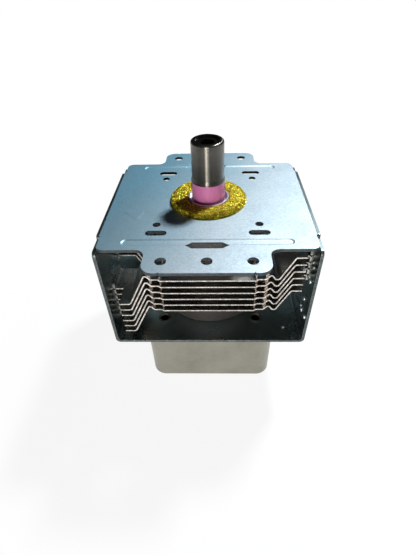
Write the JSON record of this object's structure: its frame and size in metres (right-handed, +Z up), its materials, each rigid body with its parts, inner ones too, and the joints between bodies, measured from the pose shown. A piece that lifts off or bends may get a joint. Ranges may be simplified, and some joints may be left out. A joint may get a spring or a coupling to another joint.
{
  "type": "magnetron",
  "caption": "Microwave magnetron: folded yoke with air-cooled fins, ring magnets, antenna with cap and knitted gasket on an eared plate, and a filter box with a filament connector.",
  "frame": {"origin": "centre of the filter box's underside, on the antenna axis", "axes": "+Z up along the antenna; X across the yoke from side wall to side wall; Y through the cooling fins, with the filament connector at the rear on +Y"},
  "size_m": [0.0932, 0.1064, 0.1229],
  "materials": {
    "zinc_plated_steel": "satin",
    "yoke_steel": "satin",
    "tinned_steel": "satin",
    "ferrite": "matte",
    "fin_aluminium": "satin",
    "copper": "satin",
    "pole_steel": "satin",
    "seal_alloy": "gloss",
    "pink_ceramic": "matte",
    "cap_steel": "gloss",
    "knitted_brass": "satin",
    "tungsten": "matte",
    "molybdenum": "satin",
    "white_ceramic": "matte",
    "enamelled_wire": "gloss",
    "terminal_brass": "satin",
    "moulded_plastic": "satin",
    "plated_rivet": "satin"
  },
  "bodies": {
    "root": {"filter_box": "tinned_steel", "filter_box_lid": "tinned_steel", "yoke_frame": "yoke_steel", "yoke_top_plate": "zinc_plated_steel", "lower_magnet": "ferrite", "upper_magnet": "ferrite", "cooling_fin_1": "fin_aluminium", "cooling_fin_2": "fin_aluminium", "cooling_fin_3": "fin_aluminium", "cooling_fin_4": "fin_aluminium", "cooling_fin_5": "fin_aluminium", "cooling_fin_6": "fin_aluminium", "anode_cylinder": "copper", "anode_vanes": "copper", "strap_rings": "copper", "upper_pole_piece": "pole_steel", "lower_pole_piece": "pole_steel", "upper_seal_cup": "seal_alloy", "lower_seal_cup": "seal_alloy", "antenna_lead": "copper", "antenna_insulator": "pink_ceramic", "exhaust_tube": "copper", "antenna_cap": "cap_steel", "rf_gasket": "knitted_brass", "cathode_filament": "tungsten", "upper_end_hat": "molybdenum", "lower_end_hat": "molybdenum", "centre_support_rod": "molybdenum", "side_support_rod": "molybdenum", "stem_insulator": "white_ceramic", "stem_terminals": "terminal_brass", "left_choke_coil": "enamelled_wire", "right_choke_coil": "enamelled_wire", "choke_cores": "ferrite", "capacitor_ceramic": "white_ceramic", "capacitor_flange": "tinned_steel", "connector_housing": "moulded_plastic", "inner_housing": "moulded_plastic", "terminal_blades": "terminal_brass", "capacitor_rivets": "plated_rivet"}
  },
  "joints": []
}
